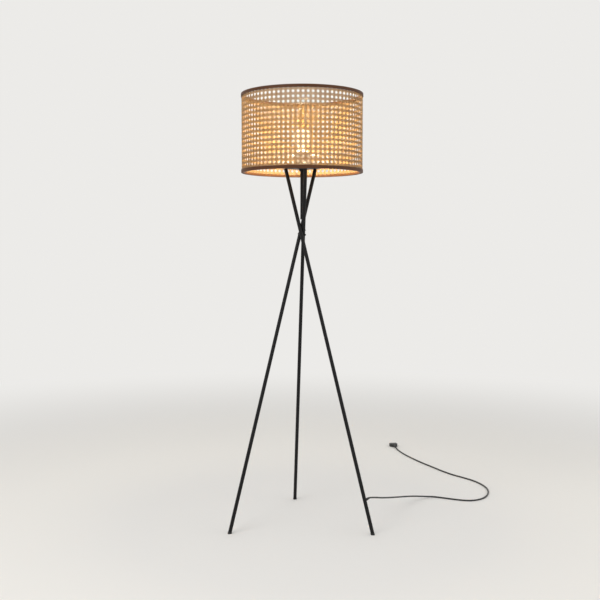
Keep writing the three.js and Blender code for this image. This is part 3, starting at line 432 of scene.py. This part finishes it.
def makeCord(look):
    points = [Vector(p) for p in look["start"] + look["drop"]]
    points += [Vector((x, y, look["floorHeight"])) for x, y in look["floor"]]
    points.append(Vector(look["end"]))
    route = smoothRoute([axis + p for p in points], look["stepsPerSpan"])
    route = eased(evenSteps(route, look["step"]), look)
    data = bpy.data.curves.new("lead", "CURVE")
    data.dimensions = "3D"
    data.bevel_depth = look["diameter"] / 2
    data.bevel_resolution = look["roundness"]
    data.use_fill_caps = True
    spline = data.splines.new("POLY")
    spline.points.add(len(route) - 1)
    for point, place in zip(spline.points, route):
        point.co = (*place, 1)
    spline.use_smooth = True
    return linked("lead", data), route


lead, leadRoute = makeCord(cordLook)

plugLook = {
    "gap": 0.0006,
    "tailLength": 0.024,
    "tailTip": 0.004,
    "tailRoot": 0.006,
    "tailSegments": 28,
    "grooves": 5,
    "grooveDepth": 0.0006,
    "stepsPerGroove": 4,
    "length": 0.034,
    "width": 0.035,
    "thickness": 0.0136,
    "shoulderShare": 0.35,
    "corner": 0.005,
    "cornerTurns": (67.5, 45, 22.5, 0),
    "edge": 0.0018,
    "edgeSegments": 3,
    "edgeAngle": 30,
    "dip": 0.0012,
    "dipInset": 0.0055,
    "broadFacing": 0.9,
    "sharpAngle": 40,
}


# A frame at the lead's end: +Z along the plug, +Y up, +X across it.
def plugFrame():
    end, before = leadRoute[-1], leadRoute[-2]
    heading = end - before
    heading.z = 0
    heading.normalize()
    across = Vector((0, 0, 1)).cross(heading)
    return Matrix((
        (across.x, 0, heading.x, end.x),
        (across.y, 0, heading.y, end.y),
        (across.z, 1, heading.z, end.z),
        (0, 0, 0, 1),
    ))


def makePlug(look):
    bodyLow = look["gap"] + look["tailLength"]
    bodyHigh = bodyLow + look["length"]
    half, corner = look["width"] / 2, look["corner"]
    shoulder = bodyLow + look["length"] * look["shoulderShare"]
    side = [(look["tailRoot"], bodyLow), (half, shoulder), (half, bodyHigh - corner)]
    side += [
        (half - corner + corner * math.sin(turn), bodyHigh - corner + corner * math.cos(turn))
        for turn in map(math.radians, look["cornerTurns"])
    ]
    outline = side + [(-x, z) for x, z in reversed(side)]
    mesh = bmesh.new()
    depth = look["thickness"] / 2
    ring = [mesh.verts.new((x, -depth, z)) for x, z in outline]
    face = mesh.faces.new(ring)
    raised = bmesh.ops.extrude_face_region(mesh, geom=[face])
    for v in (v for v in raised["geom"] if isinstance(v, bmesh.types.BMVert)):
        v.co.y = depth
    bmesh.ops.recalc_face_normals(mesh, faces=mesh.faces)
    # A shallow finger dip in each broad side
    broad = [f for f in mesh.faces if abs(f.normal.y) > look["broadFacing"]]
    bmesh.ops.inset_individual(mesh, faces=broad, thickness=look["dipInset"], depth=0)
    for v in (v for f in broad for v in f.verts):
        v.co.y -= math.copysign(look["dip"], v.co.y)
    edgeAngle = math.radians(look["edgeAngle"])
    edges = [e for e in mesh.edges if len(e.link_faces) == 2 and e.calc_face_angle() > edgeAngle]
    bmesh.ops.bevel(
        mesh, geom=edges, offset=look["edge"], segments=look["edgeSegments"], profile=0.5,
        affect="EDGES",
    )
    data = bpy.data.meshes.new("plugBody")
    mesh.transform(plugFrame())
    mesh.to_mesh(data)
    mesh.free()
    shadeSmooth(data)
    return sharpen(linked("plugBody", data), look["sharpAngle"])


def makePlugTail(look):
    outline = [(0, look["gap"])]
    each = look["stepsPerGroove"]
    steps = look["grooves"] * each
    for k in range(steps + 1):
        share = k / steps
        radius = look["tailTip"] + (look["tailRoot"] - look["tailTip"]) * share
        if k % each >= each / 2 and k < steps:
            radius -= look["grooveDepth"]
        outline.append((radius, look["gap"] + look["tailLength"] * share))
    insideBody = look["gap"] + look["tailLength"] + look["corner"]
    outline += [(look["tailRoot"], insideBody), (0, insideBody)]
    return turnedSolid("plugTail", outline, look["tailSegments"], plugFrame())


leadWear = ("blackPlastic", "black_plastic", "stand")
plugBody = wear(makePlug(plugLook), *leadWear, "plug_body")
plugTail = wear(makePlugTail(plugLook), *leadWear, "plug_body")
wear(lead, *leadWear, "floor_cord")
print("plug made")


# Cane webbing: pairs of upright and level strands, and single diagonals, woven through each other

caneLook = {
    "radius": 0.19705,
    "columns": 80,
    "holeTurn": -89.2,
    "firstRow": 1.4008,
    "rowPitch": 0.01525,
    "rows": 16,
    "bottom": 1.1676,
    "top": 1.4204,
    "pairOffset": 0.00148,
    "strandWidth": 0.0022,
    "diagonalWidth": 0.0023,
    "thickness": 0.0007,
    "profile": ((-0.5, -0.5), (-0.36, 0.5), (0.36, 0.5), (0.5, -0.5)),
    "pairWeave": 0.00035,
    "diagonalWeave": 0.0010,
    "stepsPerCell": 4,
    "stepsAbove": 2,
    "stepsBelow": 6,
    "grainShift": (0.37, 1.7),
}


class StripMesh:
    def __init__(self):
        self.verts, self.faces, self.uvs = [], [], []
        self.strands = 0

    # Samples are (turn, z, lift): radians round the drum, height, and distance out from its wall.
    def add(self, samples, width, look, closed=False):
        radius, thick = look["radius"], look["thickness"]
        count, sides = len(samples), len(look["profile"])
        start = len(self.verts)
        shiftAcross, shiftAlong = (self.strands * shift for shift in look["grainShift"])
        run = 0.0
        for i, (turn, z, lift) in enumerate(samples):
            before = samples[i - 1] if i or closed else samples[i]
            after = samples[(i + 1) % count] if i + 1 < count or closed else samples[i]
            swing = (after[0] - before[0] + math.pi) % (2 * math.pi) - math.pi
            ds, dz = swing * radius, after[1] - before[1]
            size = math.hypot(ds, dz) or 1.0
            acrossTurn, acrossZ = -dz / size / radius, ds / size
            for across, height in look["profile"]:
                r = radius + lift + height * thick
                a = turn + acrossTurn * across * width
                self.verts.append((
                    axis.x + r * math.cos(a), axis.y + r * math.sin(a), z + acrossZ * across * width,
                ))
                self.uvs.append((shiftAcross + across * width, shiftAlong + run))
            run += size / 2
        links = count if closed else count - 1
        for i in range(links):
            a, b = start + i * sides, start + ((i + 1) % count) * sides
            for k in range(sides):
                m = (k + 1) % sides
                self.faces.append((a + k, b + k, b + m, a + m))
        if not closed:
            last = start + (count - 1) * sides
            self.faces.append(tuple(range(start, start + sides)))
            self.faces.append(tuple(reversed(range(last, last + sides))))
        self.strands += 1

    def build(self, name):
        mesh = bpy.data.meshes.new(name)
        mesh.from_pydata(self.verts, [], self.faces)
        layer = mesh.uv_layers.new(name="strand")
        corners = np.empty(len(mesh.loops), dtype=np.int32)
        mesh.loops.foreach_get("vertex_index", corners)
        layer.data.foreach_set("uv", np.array(self.uvs, dtype=np.float32)[corners].ravel())
        shadeSmooth(mesh)
        return linked(name, mesh)


def makeCane(look):
    strips = StripMesh()
    columns, pitch = look["columns"], look["rowPitch"]
    columnTurn = 2 * math.pi / columns
    firstHole = math.radians(look["holeTurn"])
    pairTurn = look["pairOffset"] / look["radius"]
    pairLift = look["pairWeave"]
    levels = [look["firstRow"] + (0.5 - k) * pitch for k in range(look["rows"] + 1)]

    def inside(z):
        return look["bottom"] <= z <= look["top"]

    # Upright pairs, between the hole columns
    for c in range(columns):
        for s in (-1, 1):
            turn = firstHole + (c + 0.5) * columnTurn + s * pairTurn
            samples = [(turn, look["top"], 0.0)]
            for level in levels:
                for t in (1, -1):
                    z = level + t * look["pairOffset"]
                    if inside(z):
                        samples.append((turn, z, pairLift * s * t))
            samples.append((turn, look["bottom"], 0.0))
            strips.add(samples, look["strandWidth"], look)
    # Level pairs, all the way round
    for level in levels:
        for t in (1, -1):
            z = level + t * look["pairOffset"]
            if not inside(z):
                continue
            samples = []
            for c in range(columns):
                middle = firstHole + (c + 0.5) * columnTurn
                samples.append((middle - pairTurn, z, pairLift * t))
                samples.append((middle + pairTurn, z, -pairLift * t))
                samples.append((middle + 0.5 * columnTurn, z, 0.0))
            strips.add(samples, look["strandWidth"], look, closed=True)
    # Single diagonals, over one pair and under the next
    lift, perCell = look["diagonalWeave"], look["stepsPerCell"]
    for lean in (1, -1):
        for c in range(columns):
            samples = []
            for step in range(-look["stepsAbove"], perCell * look["rows"] + look["stepsBelow"]):
                cell = step / perCell
                z = look["firstRow"] + 0.5 * pitch - cell * pitch
                if not inside(z):
                    continue
                turn = firstHole + (c + lean * cell) * columnTurn
                wave = math.cos(2 * math.pi * cell)
                samples.append((turn, z, lift * lean * wave))
            strips.add(samples, look["diagonalWidth"], look)
    return strips.build("caneWebbing")


cane = wear(makeCane(caneLook), "cane", "cane", "shade", "cane_wall")
print("cane woven,", len(cane.data.polygons), "faces")


# Shade: trims, hoops and fitter

shadeLook = {
    "radius": 0.200,
    "bottom": 1.166,
    "top": 1.422,
    "trimHeight": 0.010,
    "foldHeight": 0.007,
    "trimThickness": 0.0010,
    "trimCorner": 0.0012,
    "trimCornerShare": 0.3,
    "trimHollow": 0.0001,
    "trimLip": 0.0005,
    "trimEdge": 0.0004,
    "foldInner": 0.18876,
    "hoopRadius": 0.19236,
    "wire": 0.0018,
    "hoopInset": 0.0036,
    "armHeight": 1.2217,
    "armStart": 0.0267,
    "armBend": 0.024,
    "armTurns": {"back": 90, "left": 210, "right": 330},
    "ringOuter": 0.0285,
    "ringInner": 0.0204,
    "ringLow": 1.2209,
    "ringThickness": 0.0016,
    "segments": 160,
    "hoopSides": 10,
    "armSides": 12,
    "armStep": 0.02,
    "armSteps": 8,
    "bendSteps": 8,
    "ringSegments": 64,
}


# A strip with round corners over the cane's edge, folded to the inside.
def trimOutline(look, edgeZ, inward):
    outer, thick, inner = look["radius"], look["trimThickness"], look["foldInner"]
    corner, height, fold = look["trimCorner"], look["trimHeight"], look["foldHeight"]
    near, edge = corner * look["trimCornerShare"], look["trimEdge"]
    points = [
        (inner, corner), (inner + near, near), (inner + corner, 0),
        (outer - corner, 0), (outer - near, near), (outer, corner),
        (outer - look["trimHollow"], height * 0.5), (outer, height - edge),
        (outer - look["trimLip"], height), (outer - thick, height),
        (outer - thick, thick), (inner + thick, thick),
        (inner + thick, fold), (inner + edge, fold), (inner, fold - edge),
    ]
    outline = [(r, edgeZ + inward * z) for r, z in points]
    return outline if inward > 0 else outline[::-1]


for name, place, inward in (("trimBottom", "bottom", 1), ("trimTop", "top", -1)):
    trim = turnedRing(name, trimOutline(shadeLook, shadeLook[place], inward), shadeLook["segments"])
    wear(trim, "brownTrim", "brown_trim", "shade", f"trim_{place}")


def hoopPoints(look, z):
    count = look["segments"]
    return [axis + polar(look["hoopRadius"], 360 * k / count, z) for k in range(count)]


# Straight out from the ring, then round a bend and down to the bottom hoop.
def armPoints(look, degrees):
    z, reach, bend = look["armHeight"], look["hoopRadius"], look["armBend"]
    starts = [look["armStart"] + look["armStep"] * k for k in range(look["armSteps"])]
    points = [polar(radius, degrees, z) for radius in starts]
    for k in range(look["bendSteps"] + 1):
        turn = math.radians(90 * k / look["bendSteps"])
        out, down = bend * (1 - math.sin(turn)), bend * (1 - math.cos(turn))
        points.append(polar(reach - out, degrees, z - down))
    points.append(polar(reach, degrees, look["bottom"] + look["hoopInset"]))
    return [axis + p for p in points]


def makeFitter(look):
    steel = ("zincSteel", "zinc_steel", "shade")
    inset = look["hoopInset"]
    for name, node, z in (
        ("bottomHoop", "bottom_hoop", look["bottom"] + inset),
        ("topHoop", "top_hoop", look["top"] - inset),
    ):
        wear(wireAlong(name, hoopPoints(look, z), look["wire"], look["hoopSides"], True), *steel, node)
    for place, degrees in look["armTurns"].items():
        arm = wireAlong(f"fitterArm_{place}", armPoints(look, degrees), look["wire"], look["armSides"])
        wear(arm, *steel, f"fitter_arm_{place}")
    high = look["ringLow"] + look["ringThickness"]
    outline = ringOutline(look["ringInner"], look["ringOuter"], look["ringLow"], high)
    wear(turnedRing("fitterRing", outline, look["ringSegments"]), *steel, "fitter_ring")


makeFitter(shadeLook)
print("shade fitted")


# Bulb

bulbLook = {
    "radius": 0.030,
    "centre": 1.2817,
    "neckRadius": 0.0119,
    "neckLow": 1.2300,
    "neckTop": 1.2340,
    "joinTurn": -54,
    "neckSteps": 12,
    "globeSteps": 24,
    "segments": 56,
    "power": 11.0,
    "color": (1.0, 0.87, 0.58),
    "lampShare": 0.8,
}


# A globe that runs into its neck by one smooth curve.
def makeBulbGlass(look):
    radius, centre = look["radius"], look["centre"]
    start = math.radians(look["joinTurn"])
    joinR, joinZ = radius * math.cos(start), centre + radius * math.sin(start)
    slopeR, slopeZ = -math.sin(start), math.cos(start)
    cornerZ = joinZ - slopeZ * (joinR - look["neckRadius"]) / slopeR
    outline = [(0, look["neckLow"]), (look["neckRadius"], look["neckLow"])]
    for k in range(look["neckSteps"] + 1):
        t = k / look["neckSteps"]
        r = look["neckRadius"] * ((1 - t) ** 2 + 2 * t * (1 - t)) + joinR * t * t
        z = look["neckTop"] * (1 - t) ** 2 + cornerZ * 2 * t * (1 - t) + joinZ * t * t
        outline.append((r, z))
    for k in range(1, look["globeSteps"]):
        turn = start + (math.pi / 2 - start) * k / look["globeSteps"]
        outline.append((radius * math.cos(turn), centre + radius * math.sin(turn)))
    outline.append((0, centre + radius))
    return turnedSolid("bulbGlass", outline, look["segments"])


# The glow of the glass is faint, and a lamp inside it lights the cane.
def lightBulb(look, glass):
    data = bpy.data.lights.new("filament", "POINT")
    data.energy = look["power"]
    data.color = look["color"]
    data.shadow_soft_size = look["radius"] * look["lampShare"]
    filament = linked("filament", data)
    filament.location = (axis.x, axis.y, look["centre"])
    body = frame["bodies"]["bulb"]
    filament.parent = body
    filament.matrix_parent_inverse = body.matrix_world.inverted()
    glass.visible_shadow = False


bulbGlass = wear(makeBulbGlass(bulbLook), "frostedGlass", "frosted_glass", "bulb", "bulb_glass")
lightBulb(bulbLook, bulbGlass)
print("bulb made")


# Legs and rod: plain round tubes on the lines of the part's own

tubeLook = {
    "radius": 0.006,
    "bore": 0.0048,
    "sides": 48,
    "endDepth": 0.004,
}


# The middle of the points near one end of a tube.
def tubeEnd(points, height, depth):
    near = [p for p in points if abs(p.z - height) < depth]
    return sum(near, Vector()) / len(near)


def makeTube(look, node):
    points = [nodes[node].matrix_world @ v.co for v in nodes[node].data.vertices]
    heights = [p.z for p in points]
    low, high = (tubeEnd(points, z, look["endDepth"]) for z in (min(heights), max(heights)))
    turn = (high - low).to_track_quat("Z", "Y").to_matrix().to_4x4()
    outline = ringOutline(look["bore"], look["radius"], 0, (high - low).length)
    return turnedRing(f"tube_{node}", outline, look["sides"], Matrix.Translation(low) @ turn)


for node in ("leg_left", "leg_right", "leg_back", "centre_rod"):
    wear(makeTube(tubeLook, node), "blackPaint", "black_paint", "stand", node)
print("tubes made")


# Top plate: a round disc with a hole for each leg's nipple and one for the stud

plateLook = {
    "rimSteps": 128,
    "holeSteps": 40,
    "nippleHole": 0.0057,
    "studHole": 0.0050,
    "edge": 0.0005,
    "edgeSteps": 3,
    "weld": 0.000001,
}


def addLoop(data, centre, radius, steps):
    loop = data.splines.new("POLY")
    loop.points.add(steps - 1)
    for k, point in enumerate(loop.points):
        spot = centre + polar(radius, 360 * k / steps)
        point.co = (spot.x, spot.y, 0, 1)
    loop.use_cyclic_u = True


# Where a leaning nipple passes the plate, between the middles of its own box and its washer's.
def nippleSpot(side, height):
    ends = [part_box(f"leg_nipple_{side}"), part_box(f"wedge_washer_{side}")]
    below, above = [(low + high) / 2 for low, high in ends]
    return below.lerp(above, (height - below.z) / (above.z - below.z))


def makePlate(look):
    low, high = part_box("top_plate")
    middle = (low.z + high.z) / 2
    data = bpy.data.curves.new("topPlateOutline", "CURVE")
    data.dimensions = "2D"
    data.fill_mode = "BOTH"
    data.extrude = (high.z - low.z) / 2 - look["edge"]
    data.bevel_depth = look["edge"]
    data.bevel_resolution = look["edgeSteps"]
    data.offset = -look["edge"]
    addLoop(data, axis, (high.x - low.x) / 2, look["rimSteps"])
    addLoop(data, axis, look["studHole"], look["holeSteps"])
    for side in ("left", "right", "back"):
        addLoop(data, nippleSpot(side, middle), look["nippleHole"], look["holeSteps"])
    outline = linked("topPlateOutline", data)
    bpy.context.view_layer.update()
    mesh = bpy.data.meshes.new_from_object(outline)
    bpy.data.objects.remove(outline)
    mesh.transform(Matrix.Translation((0, 0, middle)))
    shape = bmesh.new()
    shape.from_mesh(mesh)
    bmesh.ops.remove_doubles(shape, verts=shape.verts, dist=look["weld"])
    bmesh.ops.recalc_face_normals(shape, faces=shape.faces)
    shape.to_mesh(mesh)
    shape.free()
    shadeSmooth(mesh)
    return sharpen(linked("topPlate", mesh), capAngle)


wear(makePlate(plateLook), "blackPaint", "black_paint", "stand", "top_plate")
print("plate made")


# CAD nodes that keep their own shape and take a finer material

carried = {
    "blackPaint": [
        "waist_bolt", "waist_nut", "waist_screw", "rod_collar", "rod_screw",
    ],
    "blackRubber": ["foot_left", "foot_right", "foot_back", "exit_relief"],
    "zincSteel": [
        "leg_nipple_left", "leg_nipple_right", "leg_nipple_back",
        "wedge_washer_left", "wedge_washer_right", "wedge_washer_back",
        "leg_nut_left", "leg_nut_right", "leg_nut_back",
        "rod_plug", "top_stud", "stud_nut", "bulb_button",
    ],
    "whitePlastic": ["holder_base", "holder_body", "shade_nut"],
    "porcelain": ["holder_core"],
    "brass": ["screw_shell", "centre_contact", "terminal_live", "terminal_neutral"],
    "blackPlastic": ["switch_block", "switch_knob", "bulb_glaze", "leg_cable"],
    "nickel": ["switch_spindle", "bulb_cap", "plug_pin_a", "plug_pin_b"],
    "clearGlass": ["bulb_stem"],
    "coreBrown": ["lead_live", "lead_neutral"],
    "caneStrip": ["seam_strip"],
}
for materialName, names in carried.items():
    for name in names:
        for materialSlot in nodes[name].material_slots:
            materialSlot.material = materials[materialName]
print("carried nodes dressed:", sum(len(names) for names in carried.values()))


# Stage: pale floor that fades into the backdrop, and soft light

stageLook = {
    "floorSize": 60.0,
    "floorColor": (0.86, 0.85, 0.83),
    "floorRoughness": 0.75,
    "floorSpecular": 0.2,
    "backdrop": (0.84, 0.83, 0.81),
    "fadeFrom": 1.3,
    "fadeTo": 3.6,
    "skyColor": (1.0, 0.99, 0.97),
    "skyStrength": 0.64,
    "keyPower": 60.0,
    "keySize": 2.6,
    "keyPlace": (-2.0, -2.6, 3.4),
    "fillPower": 18.0,
    "fillSize": 3.0,
    "fillPlace": (2.8, -1.2, 2.2),
    "aim": (0, 0, 0.8),
}


def makeFloor(look):
    half = look["floorSize"] / 2
    corners = [(-half, -half, 0), (half, -half, 0), (half, half, 0), (-half, half, 0)]
    floor = meshObject("floor", corners, [(0, 1, 2, 3)])
    material = bpy.data.materials.new("paleFloor")
    material.use_nodes = True
    tree = material.node_tree
    shader = tree.nodes["Principled BSDF"]
    shader.inputs["Base Color"].default_value = (*look["floorColor"], 1)
    shader.inputs["Roughness"].default_value = look["floorRoughness"]
    shader.inputs["Specular IOR Level"].default_value = look["floorSpecular"]
    glow = addNode(tree, "ShaderNodeEmission")
    glow.inputs["Color"].default_value = (*look["backdrop"], 1)
    coords = addNode(tree, "ShaderNodeTexCoord")
    length = addNode(tree, "ShaderNodeVectorMath", operation="LENGTH")
    tree.links.new(coords.outputs["Object"], length.inputs[0])
    fade = addNode(tree, "ShaderNodeMapRange", interpolation_type="SMOOTHSTEP")
    fade.inputs["From Min"].default_value = look["fadeFrom"]
    fade.inputs["From Max"].default_value = look["fadeTo"]
    tree.links.new(length.outputs["Value"], fade.inputs["Value"])
    mix = addNode(tree, "ShaderNodeMixShader")
    tree.links.new(fade.outputs["Result"], mix.inputs["Fac"])
    tree.links.new(shader.outputs["BSDF"], mix.inputs[1])
    tree.links.new(glow.outputs["Emission"], mix.inputs[2])
    tree.links.new(mix.outputs["Shader"], tree.nodes["Material Output"].inputs["Surface"])
    floor.data.materials.append(material)


# An even sky lights the lamp, and what looks at it or mirrors it sees the plain backdrop.
def makeSky(look):
    world = bpy.data.worlds.new("studio")
    scene.world = world
    world.use_nodes = True
    tree = world.node_tree
    light = tree.nodes["Background"]
    light.inputs["Color"].default_value = (*look["skyColor"], 1)
    light.inputs["Strength"].default_value = look["skyStrength"]
    seen = addNode(tree, "ShaderNodeBackground")
    seen.inputs["Color"].default_value = (*look["backdrop"], 1)
    path = addNode(tree, "ShaderNodeLightPath")
    shine = addNode(tree, "ShaderNodeMath", operation="MAXIMUM")
    tree.links.new(path.outputs["Is Glossy Ray"], shine.inputs[0])
    tree.links.new(path.outputs["Is Transmission Ray"], shine.inputs[1])
    looking = addNode(tree, "ShaderNodeMath", operation="MAXIMUM")
    tree.links.new(path.outputs["Is Camera Ray"], looking.inputs[0])
    tree.links.new(shine.outputs[0], looking.inputs[1])
    mix = addNode(tree, "ShaderNodeMixShader")
    tree.links.new(looking.outputs[0], mix.inputs["Fac"])
    tree.links.new(light.outputs["Background"], mix.inputs[1])
    tree.links.new(seen.outputs["Background"], mix.inputs[2])
    tree.links.new(mix.outputs["Shader"], tree.nodes["World Output"].inputs["Surface"])


def makeAreaLight(look, kind):
    data = bpy.data.lights.new(f"{kind}Light", "AREA")
    data.energy = look[f"{kind}Power"]
    data.size = look[f"{kind}Size"]
    light = linked(f"{kind}Light", data)
    light.location = look[f"{kind}Place"]
    aim = Vector(look["aim"]) - light.location
    light.rotation_euler = aim.to_track_quat("-Z", "Y").to_euler()


makeFloor(stageLook)
makeSky(stageLook)
makeAreaLight(stageLook, "key")
makeAreaLight(stageLook, "fill")
scene.view_settings.view_transform = "Standard"
print("stage lit")
